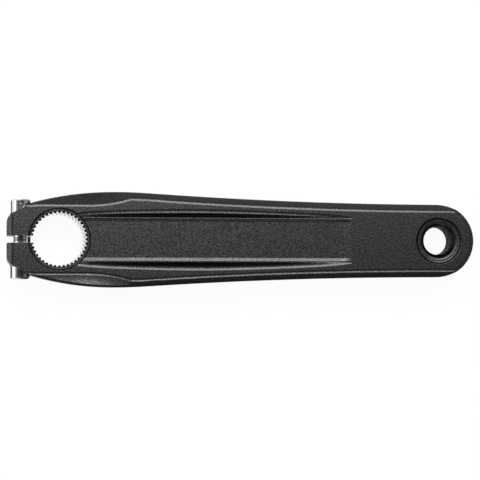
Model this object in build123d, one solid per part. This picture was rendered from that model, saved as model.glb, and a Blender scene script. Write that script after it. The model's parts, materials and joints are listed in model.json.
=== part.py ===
from build123d import *
import math
import os

# A left bicycle crank arm with a splined, split clamp and two pinch bolts. Lengths are in mm.
# The origin is on the spindle axis, half way through the clamp.
# +X runs to the pedal axis, and +Z along the spindle towards the arm's outer face.

# Arm
crank_length = 170.0
clamp_thickness = 20.5
pedal_end_thickness = 14.0
pedal_end_radius = 16.4
shoulder_x = 24.0
shoulder_half_width = 21.1
taper_turn_gap = 16.0
clamp_end_half_width = 10.3
clamp_corner_gap = 10.9
clamp_corner_half_width = 16.1
clamp_end_corner_radius = 4.0
clamp_end_edge_radius = 3.4
inner_rise_start_x = 30.0
inner_rise_end_gap = 28.0
inner_edge_chamfer = 1.5

# Bevel along both edges of the outer face, and the scooped flanks beside the clamp
bevel_width = 2.8
bevel_depth = 4.0
face_edge_radius = 2.0
shoulder_edge_radius = 3.0
clamp_face_inset = 5.9
clamp_face_flare_x = 12.0
clamp_face_flare_end_gap = 8.0
flank_spare_width = 0.7
flank_depth = 6.0
flank_scoop = 0.3

# Sunk centre panel and the groove on each side of it
panel_half_width = 9.3
panel_depth = 0.45
panel_edge_width = 1.2
panel_fade_length = 6.0
panel_fade_depth = 0.02
panel_crest_width = 0.3
groove_width = 4.45
groove_depth = 2.1
groove_wall_lean = 1.25
groove_rim_lift = 0.05
groove_start_x = 0.0
groove_widest_x = 52.0
groove_tip_gap = 40.0
groove_end_share = 0.2
groove_fullness = 0.65
groove_steps = 3

# Splined bore
spline_teeth = 40
spline_tip_radius = 11.45
spline_root_radius = 12.2
tooth_tip_share = 0.36
tooth_root_share = 0.8
tooth_overlap = 0.15
bore_rim_radius = 13.7
bore_rim_floor_radius = 13.1
bore_rim_depth = 0.6
bore_relief_length = 0.9
bore_inner_chamfer = 0.8

# Split and pinch bolts
slot_width = 3.2
bolt_bore_gap = 1.5
bolt_end_gap = 2.9
bolt_spacing = 8.8
bolt_radius = 3.0
bolt_length = 20.0
bolt_tip_chamfer = 0.6
bolt_head_radius = 4.35
bolt_head_height = 6.0
bolt_head_edge = 0.5
hex_across_flats = 5.0
hex_depth = 3.2
washer_thickness = 1.0
washer_radius = 4.7
bolt_seat_y = 10.4
seat_clearance = 0.2
bolt_hole_clearance = 0.2
thread_clearance = 0.05
tapped_spare_depth = 1.5

# Stopper plate in the slot, hung on the lower bolt
plate_side_clearance = 0.4
plate_hinge_clearance = 0.06
plate_ring_width = 1.1
plate_mouth_x = 2.6
plate_bar_bottom = 3.2
plate_bar_height = 1.4
plate_nose_height = 2.2
plate_nose_gap = 0.1

# Pedal eye
pedal_thread_radius = 6.6
pedal_rim_radius = 10.5
pedal_rim_depth = 0.4
pedal_rim_draft = 0.2
pedal_dish_radius = 7.9
pedal_dish_depth = 0.6
pedal_lead_in = 1.3
pedal_inner_chamfer = 0.9

outer_z = clamp_thickness / 2
inner_z = -clamp_thickness / 2
pedal_inner_z = outer_z - pedal_end_thickness
arm_end_x = crank_length + pedal_end_radius
bolt_x = -(spline_root_radius + bolt_bore_gap + bolt_radius)
clamp_reach = bolt_radius + bolt_end_gap - bolt_x
clamp_corner_x = clamp_corner_gap - clamp_reach
clamp_face_half_width = shoulder_half_width - clamp_face_inset
flank_width = clamp_face_inset + flank_spare_width
flare_length = shoulder_x + clamp_face_flare_end_gap - clamp_face_flare_x
flare_rise = clamp_face_inset - bevel_width
flare_radius = (flare_length**2 + flare_rise**2) / (2 * flare_rise)
flare_angle = 4 * math.degrees(math.atan2(flare_rise, flare_length))
taper_turn_x = shoulder_x + taper_turn_gap
upper_bolt_z = bolt_spacing / 2
bolt_head_y = bolt_seat_y + washer_thickness
bolt_tip_y = bolt_head_y - bolt_length
groove_inner_y = panel_half_width + panel_crest_width
groove_tip_x = crank_length - groove_tip_gap
over = 5.0
flat_tolerance = 0.05


def s_bend(start, stop, turn_x):
    """Two arcs that leave start and reach stop along X, and meet at turn_x on the line between them."""
    share = (turn_x - start[0]) / (stop[0] - start[0])
    turn = (turn_x, start[1] + share * (stop[1] - start[1]))
    return [TangentArc(start, turn, tangent=(1, 0)), TangentArc(stop, turn, tangent=(-1, 0))]


def taper(offset):
    """Upper edge from the shoulder to the pedal end, moved out by offset."""
    start = (shoulder_x, shoulder_half_width + offset)
    stop = (crank_length, pedal_end_radius + offset)
    return s_bend(start, stop, taper_turn_x)


def mirrored_face(upper_edges):
    """Close a run of edges above the X axis with its mirror image."""
    upper = Curve() + upper_edges
    return make_face(upper.edges() + mirror(upper, Plane.XZ).edges())


def plan_outline():
    """The arm's outline, seen along the spindle."""
    end_middle = (-clamp_reach, 0)
    end_corner = (-clamp_reach, clamp_end_half_width)
    clamp_corner = (clamp_corner_x, clamp_corner_half_width)
    shoulder = (shoulder_x, shoulder_half_width)
    end = FilletPolyline(end_middle, end_corner, clamp_corner, radius=clamp_end_corner_radius)
    bulge = TangentArc(shoulder, clamp_corner, tangent=(-1, 0))
    tip = RadiusArc((crank_length, pedal_end_radius), (arm_end_x, 0), pedal_end_radius)
    return mirrored_face([end, bulge, *taper(0), tip])


def side_profile():
    """The arm's profile, seen along the bolts: flat outside, stepped in towards the pedal inside."""
    rise_end_x = crank_length - inner_rise_end_gap
    top_left = (-clamp_reach, outer_z)
    top_right = (arm_end_x, outer_z)
    rise_start = (inner_rise_start_x, inner_z)
    rise_end = (rise_end_x, pedal_inner_z)
    bottom_left = (-clamp_reach, inner_z)
    bottom_right = (arm_end_x, pedal_inner_z)
    walls = Polyline(rise_start, bottom_left, top_left, top_right, bottom_right, rise_end)
    rise = s_bend(rise_start, rise_end, (inner_rise_start_x + rise_end_x) / 2)
    profile = make_face((Curve() + [walls, *rise]).edges())
    end_edge = profile.vertices().sort_by_distance(top_left)[0]
    return fillet(end_edge, clamp_end_edge_radius)


def arm_blank():
    """The plan outline, cut to the side profile."""
    plan = extrude(Pos(0, 0, inner_z) * plan_outline(), clamp_thickness)
    side_start = Plane.XZ.offset(-2 * shoulder_half_width)
    side = extrude(side_start * side_profile(), 4 * shoulder_half_width)
    return plan & side


def draft_cutter(face_at, width, depth, scoop, steps):
    """What lies outside a drafted wall that starts at the outer face, where face_at(0) is its outline.

    A scoop of 0 is a flat wall; a larger one makes it steeper at the face and flatter further down.
    """
    def level(share):
        across = width * share * (1 - scoop + scoop * share)
        return Pos(0, 0, outer_z - share * depth) * face_at(across)

    levels = [level(step / steps) for step in range(-1, steps + 1)]
    inside = loft(levels, ruled=scoop == 0)
    top_z = outer_z + depth / steps
    slab = Box(
        3 * crank_length,
        4 * shoulder_half_width,
        top_z - outer_z + depth,
        align=(Align.CENTER, Align.CENTER, Align.MAX),
    )
    return Pos(crank_length / 2, 0, top_z) * slab - inside


def bevel_face(offset):
    """Outline of the outer face inside the long bevels, moved out by offset."""
    inset = offset - bevel_width
    start = (-2 * clamp_reach, shoulder_half_width + inset)
    stop = (arm_end_x + over, pedal_end_radius + inset)
    return mirrored_face([
        Polyline((start[0], 0), start, (shoulder_x, start[1])),
        *taper(inset),
        Polyline((crank_length, stop[1]), stop, (stop[0], 0)),
    ])


def flank_face(offset):
    """Outline of the outer face inside the clamp's flanks, moved out by offset.

    Its flare reaches the long bevels half way along its arc, and runs out of the arm beyond them.
    """
    start = (-2 * clamp_reach, clamp_face_half_width + offset)
    flare_start = (clamp_face_flare_x, start[1])
    flare = JernArc(flare_start, (1, 0), flare_radius, flare_angle)
    far_x = arm_end_x + over
    out = flare @ 1
    return mirrored_face([
        Polyline((start[0], 0), start, flare_start),
        flare,
        Polyline(out, (far_x, out.Y), (far_x, 0)),
    ])


def section_plane(x):
    """Plane across the arm at x, on the outer face, with Y across and Z up."""
    return Plane((x, 0, outer_z), x_dir=(0, 1, 0), z_dir=(1, 0, 0))


def panel_cutter():
    """The shallow sunk panel with sloped edges, which fades out where the grooves end."""
    floor_y = panel_half_width - panel_edge_width

    def section(x, depth):
        upper = Polyline(
            (0, -depth),
            (floor_y, -depth),
            (panel_half_width, 0),
            (panel_half_width, over),
            (0, over),
        )
        return section_plane(x) * make_face(upper.edges() + mirror(upper, Plane.YZ).edges())

    fade_x = groove_tip_x - panel_fade_length
    fade_end = section(groove_tip_x, panel_fade_depth)
    return loft([section(0, panel_depth), section(fade_x, panel_depth), fade_end], ruled=True)


def groove_section(x, run):
    """Section of a groove at x, where run goes from 0 at the groove's end to 1 at its widest place.

    A steep wall beside the panel goes down to a sharp floor, and an arc comes up from there to the face.
    The depth goes with the square of the width, so the arc's radius stays nearly the same.
    """
    swell = math.sin(math.radians(90 * run)) ** groove_fullness
    share = groove_end_share + (1 - groove_end_share) * swell

    def at(across, up):
        return (groove_inner_y + share * across, share**2 * up)

    floor = at(groove_wall_lean, -groove_depth)
    rim = at(groove_width, groove_rim_lift)
    crest = at(0, 0)
    arc = TangentArc(rim, floor, tangent=(-1, 0))
    walls = Polyline(floor, crest, (crest[0], groove_depth), (rim[0], groove_depth), rim)
    return section_plane(x) * make_face((Curve() + [arc, walls]).edges())


def groove_cutter():
    """One long groove: straight beside the panel, bowed on its other side, narrow at both ends."""
    runs = [(step / groove_steps) ** 2 for step in range(groove_steps + 1)]

    def sections(end_x):
        return [groove_section(end_x + run * (groove_widest_x - end_x), run) for run in runs]

    return loft([*sections(groove_start_x), *sections(groove_tip_x)[-2::-1]])


def bore_cutter():
    """The splined through bore with its stepped rim and its relief."""
    pitch = 360 / spline_teeth
    inside = spline_tip_radius - tooth_overlap
    reach = spline_root_radius + tooth_overlap

    def corner(radius, side):
        height = (radius - spline_tip_radius) / (spline_root_radius - spline_tip_radius)
        share = tooth_tip_share + height * (tooth_root_share - tooth_tip_share)
        return Vector(radius, 0).rotate(Axis.Z, side * pitch * share / 2)

    tooth = make_face(Polyline(
        corner(inside, -1),
        corner(reach, -1),
        corner(reach, 1),
        corner(inside, 1),
        close=True,
    ))
    teeth = PolarLocations(0, spline_teeth) * tooth
    section = Circle(spline_root_radius) - teeth + Circle(spline_tip_radius)
    splines = extrude(Pos(0, 0, inner_z) * section, clamp_thickness)
    rim_floor_z = outer_z - bore_rim_depth
    relief = Pos(0, 0, rim_floor_z - bore_relief_length) * Cylinder(
        spline_root_radius, bore_relief_length + over, align=(Align.CENTER, Align.CENTER, Align.MIN)
    )
    rim = Pos(0, 0, rim_floor_z) * Cone(
        bore_rim_floor_radius, bore_rim_radius, bore_rim_depth, align=(Align.CENTER, Align.CENTER, Align.MIN)
    )
    lead_in = Pos(0, 0, inner_z) * Cone(
        spline_root_radius + bore_inner_chamfer,
        spline_root_radius,
        bore_inner_chamfer,
        align=(Align.CENTER, Align.CENTER, Align.MIN),
    )
    return splines + relief + rim + lead_in


def along_y(radius, start_y, stop_y, z):
    """A cylinder on a pinch bolt's axis, from start_y to stop_y."""
    return extrude(Plane((bolt_x, start_y, z), z_dir=(0, 1, 0)) * Circle(radius), stop_y - start_y)


def upper_bolt_cutter():
    """Seat, clearance hole and tapped hole for the upper pinch bolt."""
    seat = along_y(washer_radius + seat_clearance, bolt_seat_y, shoulder_half_width, upper_bolt_z)
    hole = along_y(bolt_radius + bolt_hole_clearance, 0, bolt_seat_y, upper_bolt_z)
    tapped = along_y(bolt_radius + thread_clearance, bolt_tip_y - tapped_spare_depth, 0, upper_bolt_z)
    return seat + hole + tapped


def turned_over(shape):
    """The same shape on the lower side: the clamp's two bolts are half a turn apart about X."""
    return Rot(180, 0, 0) * shape


def pedal_cutter():
    """The threaded pedal hole with its dished mouth, as a turned profile."""
    dish_z = outer_z - pedal_dish_depth
    thread_top = dish_z - pedal_lead_in
    thread_bottom = pedal_inner_z + pedal_inner_chamfer
    profile = make_face(Polyline(
        (0, pedal_inner_z - over),
        (pedal_thread_radius + pedal_inner_chamfer, pedal_inner_z - over),
        (pedal_thread_radius + pedal_inner_chamfer, pedal_inner_z),
        (pedal_thread_radius, thread_bottom),
        (pedal_thread_radius, thread_top),
        (pedal_dish_radius, dish_z),
        (pedal_rim_radius - pedal_rim_draft, outer_z - pedal_rim_depth),
        (pedal_rim_radius, outer_z),
        (pedal_rim_radius, outer_z + over),
        (0, outer_z + over),
        close=True,
    ))
    return Pos(crank_length, 0, 0) * revolve(Plane.XZ * profile, Axis.Z)


def shoulder_edges(arm):
    """Edges where the bevels and the clamp's flanks meet the arm's sides."""
    def is_shoulder(edge):
        box = edge.bounding_box()
        low_enough = box.max.Z < outer_z - face_edge_radius / 2
        high_enough = box.min.Z > pedal_inner_z
        return low_enough and high_enough and box.size.X > bevel_width

    return arm.edges().filter_by(is_shoulder)


def face_edges(arm):
    """Edges of the outer face, from the clamp's corners round the pedal end."""
    face = arm.faces().filter_by(Plane.XY).sort_by(Axis.Z)[-1]
    return face.outer_wire().edges().filter_by(lambda edge: edge.center().X > clamp_corner_x)


def inner_edges(arm):
    """Edges all round the inner side."""
    highest = pedal_inner_z + flat_tolerance
    low = arm.edges().filter_by(lambda edge: edge.bounding_box().max.Z < highest)
    return low.filter_by(Axis.Y, reverse=True)


def forging():
    """The forged arm before machining: blank, bevels, flanks, and rounded edges."""
    arm = arm_blank()
    arm -= draft_cutter(bevel_face, bevel_width, bevel_depth, scoop=0, steps=1)
    arm -= draft_cutter(flank_face, flank_width, flank_depth, flank_scoop, steps=2)
    arm = fillet(shoulder_edges(arm), shoulder_edge_radius)
    arm = fillet(face_edges(arm), face_edge_radius)
    arm = chamfer(inner_edges(arm), inner_edge_chamfer)
    groove = groove_cutter()
    arm -= panel_cutter()
    arm -= groove
    arm -= mirror(groove, Plane.XZ)
    return arm


def crank_arm():
    """The forged arm with everything that is machined into it."""
    arm = forging()
    arm -= bore_cutter()
    arm -= Pos(-clamp_reach, 0, 0) * Box(2 * clamp_reach, slot_width, clamp_thickness)
    arm -= upper_bolt_cutter()
    arm -= turned_over(upper_bolt_cutter())
    arm -= pedal_cutter()
    return arm


def upper_bolt():
    """Socket-head pinch bolt, screwed in from above."""
    top_y = bolt_head_y + bolt_head_height
    head = along_y(bolt_head_radius, bolt_head_y, top_y, upper_bolt_z)
    head = chamfer(head.edges().filter_by(GeomType.CIRCLE).sort_by(Axis.Y)[-1], bolt_head_edge)
    socket_plane = Plane((bolt_x, top_y, upper_bolt_z), z_dir=(0, 1, 0))
    hexagon = RegularPolygon(hex_across_flats / 2, 6, major_radius=False)
    socket = extrude(socket_plane * hexagon, -hex_depth)
    shank = along_y(bolt_radius, bolt_tip_y, bolt_head_y, upper_bolt_z)
    shank = chamfer(shank.edges().filter_by(GeomType.CIRCLE).sort_by(Axis.Y)[0], bolt_tip_chamfer)
    return head + shank - socket


def upper_washer():
    """Flat washer between the bolt head and its seat."""
    disc = along_y(washer_radius, bolt_seat_y, bolt_head_y, upper_bolt_z)
    return disc - along_y(bolt_radius + bolt_hole_clearance, 0, shoulder_half_width, upper_bolt_z)


def stopper_plate():
    """Plate in the slot: an open ring on the lower bolt, a finger tab, and a nose towards the bore."""
    hole_radius = bolt_radius + plate_hinge_clearance
    ring = Circle(hole_radius + plate_ring_width) - Circle(hole_radius)
    nose_x = -spline_root_radius - plate_nose_gap - bolt_x
    bar_top = plate_bar_bottom + plate_bar_height
    bar = Polyline(
        (-plate_mouth_x, plate_bar_bottom),
        (nose_x, plate_bar_bottom),
        (nose_x, plate_bar_bottom + plate_nose_height),
        (hole_radius, plate_bar_bottom + plate_nose_height),
        (0, bar_top),
        (-plate_mouth_x, bar_top),
        close=True,
    )
    mouth = Pos(-plate_mouth_x - clamp_reach, 0) * Rectangle(2 * clamp_reach, 2 * clamp_thickness)
    outline = ring + make_face(bar) - mouth
    thickness = slot_width - 2 * plate_side_clearance
    front = Plane((bolt_x, thickness / 2, -upper_bolt_z), x_dir=(1, 0, 0), z_dir=(0, -1, 0))
    return extrude(front * outline, thickness)


def write_node(shape, name):
    """Write one piece as its own file."""
    export_step(shape, os.path.join("parts", name + ".step"))


os.makedirs("parts", exist_ok=True)
write_node(crank_arm(), "crank_arm")
write_node(upper_bolt(), "upper_pinch_bolt")
write_node(turned_over(upper_bolt()), "lower_pinch_bolt")
write_node(upper_washer(), "upper_bolt_washer")
write_node(turned_over(upper_washer()), "lower_bolt_washer")
write_node(stopper_plate(), "stopper_plate")
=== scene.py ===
import bpy
import json
import math
from mathutils import Matrix, Vector


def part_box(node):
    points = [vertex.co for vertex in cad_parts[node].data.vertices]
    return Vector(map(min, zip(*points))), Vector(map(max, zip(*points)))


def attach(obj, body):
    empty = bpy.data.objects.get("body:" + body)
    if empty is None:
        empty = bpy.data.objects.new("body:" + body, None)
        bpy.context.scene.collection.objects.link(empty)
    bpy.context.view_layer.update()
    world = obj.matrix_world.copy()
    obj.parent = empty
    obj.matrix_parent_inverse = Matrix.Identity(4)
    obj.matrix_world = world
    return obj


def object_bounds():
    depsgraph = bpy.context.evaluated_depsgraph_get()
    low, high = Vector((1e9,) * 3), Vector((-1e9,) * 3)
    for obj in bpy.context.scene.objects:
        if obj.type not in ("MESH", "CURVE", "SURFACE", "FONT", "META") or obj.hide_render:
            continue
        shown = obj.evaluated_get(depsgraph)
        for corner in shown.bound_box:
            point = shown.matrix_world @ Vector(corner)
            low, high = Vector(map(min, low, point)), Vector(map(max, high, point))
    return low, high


# The dressed crank arm: finishes for its solids, the threads that show, and the photograph's studio.
# Lengths are in metres. +X runs to the pedal axis, and +Z along the spindle to the outer face.

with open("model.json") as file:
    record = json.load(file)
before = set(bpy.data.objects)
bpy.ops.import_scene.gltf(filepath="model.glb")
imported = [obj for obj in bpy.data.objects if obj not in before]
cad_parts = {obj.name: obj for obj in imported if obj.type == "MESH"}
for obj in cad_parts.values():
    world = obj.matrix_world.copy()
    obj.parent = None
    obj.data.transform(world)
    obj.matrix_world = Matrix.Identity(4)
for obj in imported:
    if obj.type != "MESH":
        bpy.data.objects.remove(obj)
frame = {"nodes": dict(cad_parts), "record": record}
cad_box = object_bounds()
nodes = frame["nodes"]
mounts = {mount["name"]: mount for mount in frame["record"]["mounts"]}

MM = 0.001
arm_low, arm_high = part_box("crank_arm")

# Splined bore: radii, and the heights between which its teeth are bare; beyond them its mouths are
# painted black
SPLINE_TIP = mounts["spindle_clamp"]["dims"]["r_mm"] * MM
SPLINE_ROOT = SPLINE_TIP + 0.75 * MM
BORE_RIM = SPLINE_TIP + 2.3 * MM
TOOTH_TOP = arm_high.z - 1.55 * MM
BARE_BOTTOM = arm_low.z + 5.0 * MM

# Pedal eye: axis, radii, and the length of its thread
PEDAL_AXIS = Vector(mounts["pedal_thread"]["pos_m"])
PEDAL_THREAD = mounts["pedal_thread"]["dims"]["r_mm"] * MM
PEDAL_THREAD_LENGTH = mounts["pedal_thread"]["dims"]["length_mm"] * MM
PEDAL_LEAD_IN = PEDAL_THREAD + 1.3 * MM
PEDAL_RIM = PEDAL_THREAD + 3.9 * MM

# Steps turned in the rims of both, on the outer side, with bands of painted shade at their feet
BORE_STEP_SHADE_WIDTH = 0.6 * MM
PEDAL_STEP_SHADE_WIDTH = 0.8 * MM
STEP_DEPTH = 0.7 * MM

# Arm's skin: sizes of its grain, marks and edges; the turned marks end just inside the pedal eye's rim
EDGE_BLUR = 0.05 * MM
TURNED_EDGE = PEDAL_RIM - 2 * EDGE_BLUR
BLAST_GRAIN = 0.6 * MM
BLAST_DEPTH = 0.018 * MM
CLOUD_GRAIN = 18 * MM
WORN_EDGE = 0.3 * MM
WORN_EDGE_SAMPLES = 6
TURNING_PITCH = 1.2 * MM
TURNING_DEPTH = 0.03 * MM

# Arm's skin: grey, sheen and roughness at the low and the high places of its grain
SKIN_BLACK = (0.003, 0.006)
SKIN_SHEEN = (0.45, 1.0)
SKIN_ROUGHNESS = (0.26, 0.32)

# Painted shade in the steps, the pedal hole, the recesses and the bore's mouths, and the bore's bare
# teeth
PAINTED_SHADE_GREY = 0.002
PAINTED_SHADE_SHEEN = 0.1
BARE_GREY = 0.82
BARE_ROUGHNESS = 0.22

# Recesses, darkened by occlusion as painted shade: how far round a place is looked, how open it is where
# the painted shade is blackest and where it ends, and how black it gets
RECESS_REACH = 4.0 * MM
RECESS_SAMPLES = 4
RECESS_OPENNESS = (0.5, 0.96)
RECESS_SHADE = 0.95

# Ranges that hold most values of a noise, and of the grain with a share of the clouds added
NOISE_RANGE = (0.3, 0.7)
CLOUD_SHARE = 0.3
TONE_RANGE = (0.35, 0.95)

# Threads: pitches, how far their crests stand out, and the bolt in its slot
PEDAL_PITCH = 1.27 * MM
PEDAL_CREST = 0.34 * MM
BOLT_PITCH = 1.0 * MM
BOLT_RADIUS = 3.0 * MM
BOLT_CREST = 0.17 * MM
SLOT_WIDTH = 3.2 * MM

# A thread's ridge: half widths as shares of the pitch, the share of its height left at its ends,
# how deep its foot is sunk in the metal, the corners of its section, and the steps in a turn
RIDGE_BASE_SHARE = 0.46
RIDGE_CREST_SHARE = 0.08
RIDGE_END_SHARE = 0.02
RIDGE_SINK = 0.02 * MM
RIDGE_CORNERS = 4
THREAD_STEPS = 48

# The photograph's view: the camera hangs over the outer face, a little left of and below the middle
CAMERA_PLACE = Vector((-0.044, -0.025, 0.84725))
CAMERA_TARGET = Vector((0.07963, -0.00007, 0.01025))
CAMERA_LENS = 143.4
SENSOR_WIDTH = 36.0
CAMERA_CLIP = 0.01
PICTURE_UP = Vector((0, 1, 0))

# Softboxes as name, place, size and brightness.
# They light the face, the lower edge, the lower flank, and the clamp's end with the bolts.
STUDIO_AIM = Vector((0.08, 0, 0))
SOFTBOXES = [
    ("key", (0.03, 0.50, 0.935), (1.0, 0.64), 6.5),
    ("low_strip", (0.25, -1.08, 0.47), (0.7, 0.30), 6.8),
    ("flank_card", (0.14, -1.10, 0.26), (0.16, 0.10), 24.0),
    ("end_card", (-1.1, -0.1, 0.3), (1.2, 0.65), 1.4),
]

# Cards on the floor round the arm, seen only in reflections, where they paint the floor's shade:
# gap to the arm, height over the floor, reach and brightness
FLAG_GAP = 0.002
FLAG_LIFT = 0.0001
SIDE_FLAG_REACH = 0.9
LOWER_FLAG_LEVEL = 0.02
UPPER_FLAG_LEVEL = 0.35
END_FLAG_REACH = 0.02
END_FLAG_LEVEL = 0.1

# Floor: how far it reaches, its matt grey, and the brightness and share of the white laid over it
FLOOR_REACH = 3.0
FLOOR_GREY = 0.85
FLOOR_WHITE = 1.02
FLOOR_LIFT = 0.93

# Surround: brightness by height, from 0 at the horizon to 1 overhead
SKY = {0.0: 0.35, 0.7: 0.35, 0.85: 0.05, 1.0: 0.03}


def add_camera():
    """The photograph's camera, with the picture's upper edge towards +Y."""
    data = bpy.data.cameras.new("camera")
    data.lens = CAMERA_LENS
    data.sensor_width = SENSOR_WIDTH
    data.clip_start = CAMERA_CLIP
    camera = bpy.data.objects.new("camera", data)
    back = (CAMERA_PLACE - CAMERA_TARGET).normalized()
    right = PICTURE_UP.cross(back).normalized()
    turn = Matrix((right, back.cross(right), back)).transposed()
    camera.matrix_world = Matrix.Translation(CAMERA_PLACE) @ turn.to_4x4()
    bpy.context.scene.collection.objects.link(camera)
    bpy.context.scene.camera = camera


def put(tree, target, value):
    """Link an input to a socket, or set it to a plain value."""
    if isinstance(value, bpy.types.NodeSocket):
        tree.links.new(value, target)
    else:
        target.default_value = value


def add_node(tree, kind, inputs, **settings):
    """A shader node with its settings, and its inputs linked or set."""
    node = tree.nodes.new("ShaderNode" + kind)
    for name, value in settings.items():
        setattr(node, name, value)
    for key, value in inputs.items():
        put(tree, node.inputs[key], value)
    return node


def maths(tree, operation, *values):
    """One operation on numbers or sockets."""
    return add_node(tree, "Math", dict(enumerate(values)), operation=operation).outputs[0]


def ramp(tree, value, start, stop, low=0.0, high=1.0):
    """A smooth step from low at start to high at stop."""
    node = add_node(
        tree,
        "MapRange",
        {"Value": value, "From Min": start, "From Max": stop, "To Min": low, "To Max": high},
        interpolation_type="SMOOTHSTEP",
    )
    return node.outputs["Result"]


def by_noise(tree, noise_value, low, high):
    """A value that goes from low to high with a noise."""
    return ramp(tree, noise_value, *NOISE_RANGE, low, high)


def mix_value(tree, factor, first, second):
    """The first value where factor is 0, and the second where it is 1."""
    node = add_node(tree, "Mix", {0: factor, 2: first, 3: second}, data_type="FLOAT")
    return node.outputs[0]


def mix_colour(tree, factor, first, second):
    """The first colour where factor is 0, and the second where it is 1."""
    node = add_node(tree, "Mix", {0: factor, 6: first, 7: second}, data_type="RGBA")
    return node.outputs[2]


def grey(level, blue=1.02):
    """A neutral colour, very slightly cool."""
    return (level, level, level * blue, 1)


def new_material(name):
    """A material with nothing but its shader."""
    material = bpy.data.materials.new(name)
    material.use_nodes = True
    tree = material.node_tree
    tree.nodes.clear()
    output = tree.nodes.new("ShaderNodeOutputMaterial")
    shader = tree.nodes.new("ShaderNodeBsdfPrincipled")
    tree.links.new(shader.outputs["BSDF"], output.inputs["Surface"])
    return material, tree, shader


def place_on_part(tree):
    """The place on the part, in its own frame."""
    return tree.nodes.new("ShaderNodeTexCoord").outputs["Object"]


def height_of(tree, place):
    """The Z of a place or a direction."""
    return add_node(tree, "SeparateXYZ", {0: place}).outputs["Z"]


def noise(tree, place, grain, detail=2.0, stretch=(1, 1, 1)):
    """Noise whose lumps are about grain metres across."""
    scaled = add_node(tree, "VectorMath", {0: place, 1: stretch}, operation="MULTIPLY").outputs[0]
    node = add_node(tree, "TexNoise", {"Vector": scaled, "Scale": 1 / grain, "Detail": detail})
    return node.outputs["Fac"]


def radius_about(tree, place, axis):
    """Distance from a line that runs along Z through axis."""
    shifted = add_node(tree, "VectorMath", {0: place, 1: axis}, operation="SUBTRACT").outputs[0]
    flat = add_node(tree, "VectorMath", {0: shifted, 1: (1, 1, 0)}, operation="MULTIPLY").outputs[0]
    return add_node(tree, "VectorMath", {0: flat}, operation="LENGTH").outputs["Value"]


def band(tree, value, low, high):
    """1 between low and high, 0 outside, with slightly soft edges."""
    above = ramp(tree, value, low - EDGE_BLUR, low + EDGE_BLUR)
    below = ramp(tree, value, high - EDGE_BLUR, high + EDGE_BLUR, 1.0, 0.0)
    return maths(tree, "MULTIPLY", above, below)


def bump(tree, height, depth, normal=None):
    """The normal of a surface with bumps up to depth high, on top of another normal if given."""
    inputs = {"Height": height, "Distance": depth}
    if normal is not None:
        inputs["Normal"] = normal
    return add_node(tree, "Bump", inputs).outputs["Normal"]


def rings(tree, radius, pitch):
    """Fine turning marks: 0 to 1 waves along a radius."""
    wave = maths(tree, "SINE", maths(tree, "MULTIPLY", radius, math.tau / pitch))
    return maths(tree, "MULTIPLY_ADD", wave, 0.5, 0.5)


def recess_shade(tree, height, spindle_radius, pedal_radius):
    """Painted shade from 0 to 1: 1 in the turned steps and the pedal hole, less in other recesses."""
    bore_step = band(tree, spindle_radius, BORE_RIM - BORE_STEP_SHADE_WIDTH, BORE_RIM)
    pedal_step = band(tree, pedal_radius, PEDAL_RIM - PEDAL_STEP_SHADE_WIDTH, TURNED_EDGE)
    outside = ramp(tree, height, arm_high.z - 2 * STEP_DEPTH, arm_high.z - STEP_DEPTH)
    steps = maths(tree, "MULTIPLY", maths(tree, "MAXIMUM", bore_step, pedal_step), outside)
    # The pedal hole, painted black as shade
    pedal_hole = band(tree, pedal_radius, 0, PEDAL_LEAD_IN)
    # Recesses found by occlusion, painted darker as shade
    occlusion = add_node(tree, "AmbientOcclusion", {"Distance": RECESS_REACH}, samples=RECESS_SAMPLES)
    recess = ramp(tree, occlusion.outputs["AO"], *RECESS_OPENNESS, RECESS_SHADE, 0.0)
    return maths(tree, "MAXIMUM", maths(tree, "MAXIMUM", steps, pedal_hole), recess)


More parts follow.
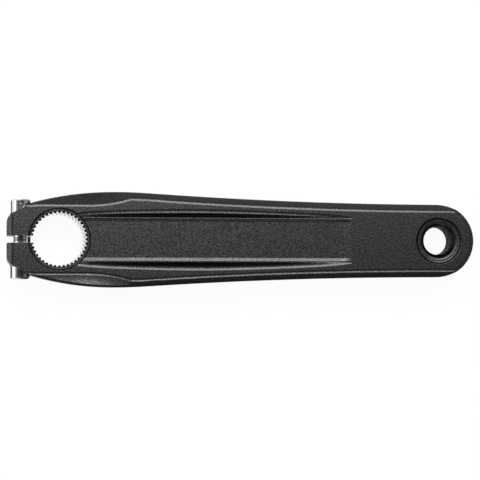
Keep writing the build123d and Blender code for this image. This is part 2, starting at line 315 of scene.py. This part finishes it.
def arm_material():
    """Fine-blasted black anodised aluminium, turned round the pedal eye and bare on the bore's teeth."""
    material, tree, shader = new_material("black_anodised")
    place = place_on_part(tree)
    height = height_of(tree, place)
    speckle = noise(tree, place, BLAST_GRAIN, detail=1.0)
    cloud = noise(tree, place, CLOUD_GRAIN)
    spindle_radius = radius_about(tree, place, (0, 0, 0))
    pedal_radius = radius_about(tree, place, PEDAL_AXIS)

    in_bore = band(tree, spindle_radius, 0, SPLINE_ROOT + 2 * EDGE_BLUR)
    toothed = band(tree, height, BARE_BOTTOM, TOOTH_TOP - 2 * EDGE_BLUR)
    bare = maths(tree, "MULTIPLY", in_bore, toothed)
    # The bore's mouths beyond the bare teeth, painted black: shade at the outer mouth, a plain dark band
    # at the inner
    bore_mouths = maths(tree, "SUBTRACT", in_bore, bare)
    # Painted shade: the bore's mouths, the steps, the pedal hole and the recesses go black with little
    # sheen
    shade = recess_shade(tree, height, spindle_radius, pedal_radius)
    painted_shade = maths(tree, "MAXIMUM", bore_mouths, shade)
    turned = band(tree, pedal_radius, PEDAL_THREAD, TURNED_EDGE)

    tone = ramp(tree, maths(tree, "MULTIPLY_ADD", cloud, CLOUD_SHARE, speckle), *TONE_RANGE)
    skin = mix_colour(tree, tone, grey(SKIN_BLACK[0]), grey(SKIN_BLACK[1]))
    # Painted shade: black skin where it lies
    skin = mix_colour(tree, painted_shade, skin, grey(PAINTED_SHADE_GREY))
    put(tree, shader.inputs["Base Color"], mix_colour(tree, bare, skin, grey(BARE_GREY)))
    put(tree, shader.inputs["Metallic"], bare)
    sheen = by_noise(tree, speckle, *SKIN_SHEEN)
    # Painted shade also takes most of the sheen away
    put(tree, shader.inputs["Specular IOR Level"], mix_value(tree, painted_shade, sheen, PAINTED_SHADE_SHEEN))
    blasted = by_noise(tree, speckle, *SKIN_ROUGHNESS)
    put(tree, shader.inputs["Roughness"], mix_value(tree, bare, blasted, BARE_ROUGHNESS))

    dimples = maths(tree, "MULTIPLY", speckle, maths(tree, "SUBTRACT", 1.0, turned))
    worn_edges = add_node(tree, "Bevel", {"Radius": WORN_EDGE}, samples=WORN_EDGE_SAMPLES)
    grain = bump(tree, dimples, BLAST_DEPTH, worn_edges.outputs["Normal"])
    marks = maths(tree, "MULTIPLY", rings(tree, pedal_radius, TURNING_PITCH), turned)
    put(tree, shader.inputs["Normal"], bump(tree, marks, TURNING_DEPTH, grain))
    return material


def grained_material(
    name, grain, stretch, greys, roughness, depth, detail=2.0, metallic=0.0, sheen=0.5
):
    """A finish whose grey, roughness and height all go with one grain."""
    material, tree, shader = new_material(name)
    marks = noise(tree, place_on_part(tree), grain, detail, stretch)
    put(tree, shader.inputs["Base Color"], mix_colour(tree, marks, grey(greys[0]), grey(greys[1])))
    put(tree, shader.inputs["Metallic"], metallic)
    put(tree, shader.inputs["Specular IOR Level"], sheen)
    put(tree, shader.inputs["Roughness"], by_noise(tree, marks, *roughness))
    put(tree, shader.inputs["Normal"], bump(tree, marks, depth))
    return material


def thread_material():
    """The arm's black where a tap has cut it smooth, its sheen lowered as painted shade in the pedal
    hole.
    """
    return grained_material(
        "cut_thread",
        grain=0.3 * MM,
        stretch=(1, 1, 4),
        greys=(0.002, 0.006),
        roughness=(0.12, 0.2),
        depth=0.005 * MM,
        # Lowered sheen: painted shade inside the pedal hole
        sheen=0.25,
    )


def bolt_material():
    """Plated steel, bright, with faint turning marks round the bolt."""
    return grained_material(
        "plated_steel",
        grain=0.25 * MM,
        stretch=(0.05, 1, 0.05),
        greys=(0.64, 0.76),
        roughness=(0.10, 0.18),
        depth=0.004 * MM,
        metallic=1.0,
    )


def washer_material():
    """Satin steel with a fine rolled grain."""
    return grained_material(
        "satin_steel",
        grain=0.3 * MM,
        stretch=(1, 0.2, 0.1),
        greys=(0.5, 0.66),
        roughness=(0.26, 0.4),
        depth=0.01 * MM,
        metallic=1.0,
    )


def plate_material():
    """Black moulded plastic with a fine matte grain."""
    return grained_material(
        "black_plastic",
        grain=0.2 * MM,
        stretch=(1, 1, 1),
        greys=(0.014, 0.026),
        roughness=(0.5, 0.66),
        depth=0.02 * MM,
        detail=3.0,
    )


def thread_mesh(name, base, crest, pitch, length, hand):
    """A helical ridge about Z, from z 0 up to length, between the radii base and crest.

    The ridge runs out to nearly nothing over half a turn at each end.
    hand is 1 for a right-hand thread and -1 for a left-hand one.
    """
    turns = length / pitch
    count = int(turns * THREAD_STEPS)
    half_base = RIDGE_BASE_SHARE * pitch
    half_crest = RIDGE_CREST_SHARE * pitch
    points = []
    for step in range(count + 1):
        turn = step / THREAD_STEPS
        run_out = min(1, 2 * turn, 2 * (turns - turn))
        top = base + (crest - base) * max(run_out, RIDGE_END_SHARE)
        angle = hand * math.tau * turn
        profile = [(base, -half_base), (top, -half_crest), (top, half_crest), (base, half_base)]
        for radius, rise in profile:
            points.append((radius * math.cos(angle), radius * math.sin(angle), turn * pitch + rise))
    faces = []
    for step in range(count):
        here = RIDGE_CORNERS * step
        ahead = here + RIDGE_CORNERS
        for side in range(RIDGE_CORNERS):
            after = (side + 1) % RIDGE_CORNERS
            faces.append((here + side, ahead + side, ahead + after, here + after))
    last = RIDGE_CORNERS * count
    faces.append(tuple(range(RIDGE_CORNERS)))
    faces.append(tuple(last + corner for corner in reversed(range(RIDGE_CORNERS))))
    mesh = bpy.data.meshes.new(name)
    mesh.from_pydata(points, [], faces)
    return mesh


def add_piece(name, mesh, material, body):
    """A new piece that rides on a body."""
    piece = bpy.data.objects.new(name, mesh)
    bpy.context.scene.collection.objects.link(piece)
    mesh.materials.append(material)
    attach(piece, body)


def add_pedal_thread(material):
    """The left-hand thread in the pedal eye, cut for a 9/16 inch axle."""
    base = PEDAL_THREAD + RIDGE_SINK
    length = PEDAL_THREAD_LENGTH - PEDAL_PITCH
    mesh = thread_mesh("pedal_eye_thread", base, PEDAL_THREAD - PEDAL_CREST, PEDAL_PITCH, length, -1)
    low_z = PEDAL_AXIS.z - length / 2
    mesh.transform(Matrix.Translation((PEDAL_AXIS.x, PEDAL_AXIS.y, low_z)))
    add_piece("pedal_eye_thread", mesh, material, "arm")


def add_bolt_thread(material):
    """The stretch of the upper bolt's thread that shows in the slot."""
    low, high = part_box("upper_pinch_bolt")
    base = BOLT_RADIUS - RIDGE_SINK
    length = SLOT_WIDTH - BOLT_PITCH
    mesh = thread_mesh("upper_bolt_thread", base, BOLT_RADIUS + BOLT_CREST, BOLT_PITCH, length, 1)
    middle = (low + high) / 2
    lie_down = Matrix.Rotation(-math.pi / 2, 4, "X")
    mesh.transform(Matrix.Translation((middle.x, -length / 2, middle.z)) @ lie_down)
    add_piece("upper_bolt_thread", mesh, material, "arm")


def dress_nodes():
    """Give every solid its finish, and add the threads that show."""
    finishes = {
        "arm": arm_material(),
        "bolt": bolt_material(),
        "washer": washer_material(),
        "plate": plate_material(),
    }
    for subpart in frame["record"]["subparts"]:
        mesh = nodes[subpart["node"]].data
        mesh.materials.clear()
        mesh.materials.append(finishes[subpart["material_slot"]])
    add_pedal_thread(thread_material())
    add_bolt_thread(finishes["bolt"])


def add_softbox(name, place, size, level):
    """An area light that looks level times as bright as white paper."""
    data = bpy.data.lights.new(name, "AREA")
    data.shape = "RECTANGLE"
    data.size, data.size_y = size
    data.energy = level * math.pi * size[0] * size[1]
    light = bpy.data.objects.new(name, data)
    light.location = place
    light.rotation_euler = (STUDIO_AIM - Vector(place)).to_track_quat("-Z", "Y").to_euler()
    bpy.context.scene.collection.objects.link(light)


def add_stage_sheet(name, x_span, y_span, z, material):
    """A level sheet of the studio at height z."""
    x0, x1 = x_span
    y0, y1 = y_span
    mesh = bpy.data.meshes.new(name)
    mesh.from_pydata([(x0, y0, z), (x1, y0, z), (x1, y1, z), (x0, y1, z)], [], [(0, 1, 2, 3)])
    mesh.materials.append(material)
    sheet = bpy.data.objects.new(name, mesh)
    bpy.context.scene.collection.objects.link(sheet)
    return sheet


def floor_material():
    """White to the camera and in reflections, with enough matt left to keep the object's shadow."""
    material = bpy.data.materials.new("floor")
    material.use_nodes = True
    tree = material.node_tree
    tree.nodes.clear()
    path = tree.nodes.new("ShaderNodeLightPath").outputs
    seen = maths(tree, "ADD", path["Is Camera Ray"], path["Is Glossy Ray"])
    seen = maths(tree, "ADD", seen, path["Is Transmission Ray"])
    matt = add_node(tree, "BsdfDiffuse", {"Color": grey(FLOOR_GREY, blue=1.0)}).outputs[0]
    white = add_node(tree, "Emission", {"Strength": FLOOR_WHITE}).outputs[0]
    lift = maths(tree, "MULTIPLY", seen, FLOOR_LIFT)
    mixed = add_node(tree, "MixShader", {0: lift, 1: matt, 2: white}).outputs[0]
    add_node(tree, "OutputMaterial", {"Surface": mixed})
    return material


def add_floor():
    """The white floor that the arm lies on."""
    span = (-FLOOR_REACH, FLOOR_REACH)
    add_stage_sheet("floor", span, span, cad_box[0].z, floor_material())


def flag_material(level):
    """A card that only gives off an even light."""
    material, tree, shader = new_material("flag")
    put(tree, shader.inputs["Base Color"], grey(0))
    put(tree, shader.inputs["Specular IOR Level"], 0)
    put(tree, shader.inputs["Emission Color"], grey(1, blue=1.0))
    put(tree, shader.inputs["Emission Strength"], level)
    return material


def add_flag(x_span, y_span, level):
    """A shadowless card on the floor that the camera doesn't see; its dim glow stands in for shaded
    floor in the arm's reflections.
    """
    flag = add_stage_sheet("flag", x_span, y_span, cad_box[0].z + FLAG_LIFT, flag_material(level))
    flag.visible_camera = False
    flag.visible_shadow = False


def add_flags():
    """Cards along both sides and beyond the pedal end, and a short one at the clamp's end."""
    low, high = cad_box
    right = high.x + SIDE_FLAG_REACH
    below = low.y - FLAG_GAP
    above = high.y + FLAG_GAP
    end = low.x - FLAG_GAP
    add_flag((low.x, right), (below - SIDE_FLAG_REACH, below), LOWER_FLAG_LEVEL)
    add_flag((low.x, right), (above, above + SIDE_FLAG_REACH), UPPER_FLAG_LEVEL)
    add_flag((high.x + FLAG_GAP, right), (below, above), LOWER_FLAG_LEVEL)
    add_flag((end - END_FLAG_REACH, end), (low.y, high.y), END_FLAG_LEVEL)


def set_world():
    """A dim surround with a dark ceiling, by the height of the direction that is looked in."""
    world = bpy.data.worlds.new("studio")
    bpy.context.scene.world = world
    world.use_nodes = True
    tree = world.node_tree
    direction = tree.nodes.new("ShaderNodeTexCoord").outputs["Generated"]
    sky = add_node(tree, "ValToRGB", {0: height_of(tree, direction)})
    stops = sky.color_ramp.elements
    for height in list(SKY)[1:-1]:
        stops.new(height)
    for stop, level in zip(stops, SKY.values()):
        stop.color = grey(level, blue=1.0)
    tree.links.new(sky.outputs["Color"], tree.nodes["Background"].inputs["Color"])


add_camera()
dress_nodes()
add_floor()
add_flags()
for softbox in SOFTBOXES:
    add_softbox(*softbox)
set_world()

bpy.context.scene.view_settings.view_transform = "Standard"
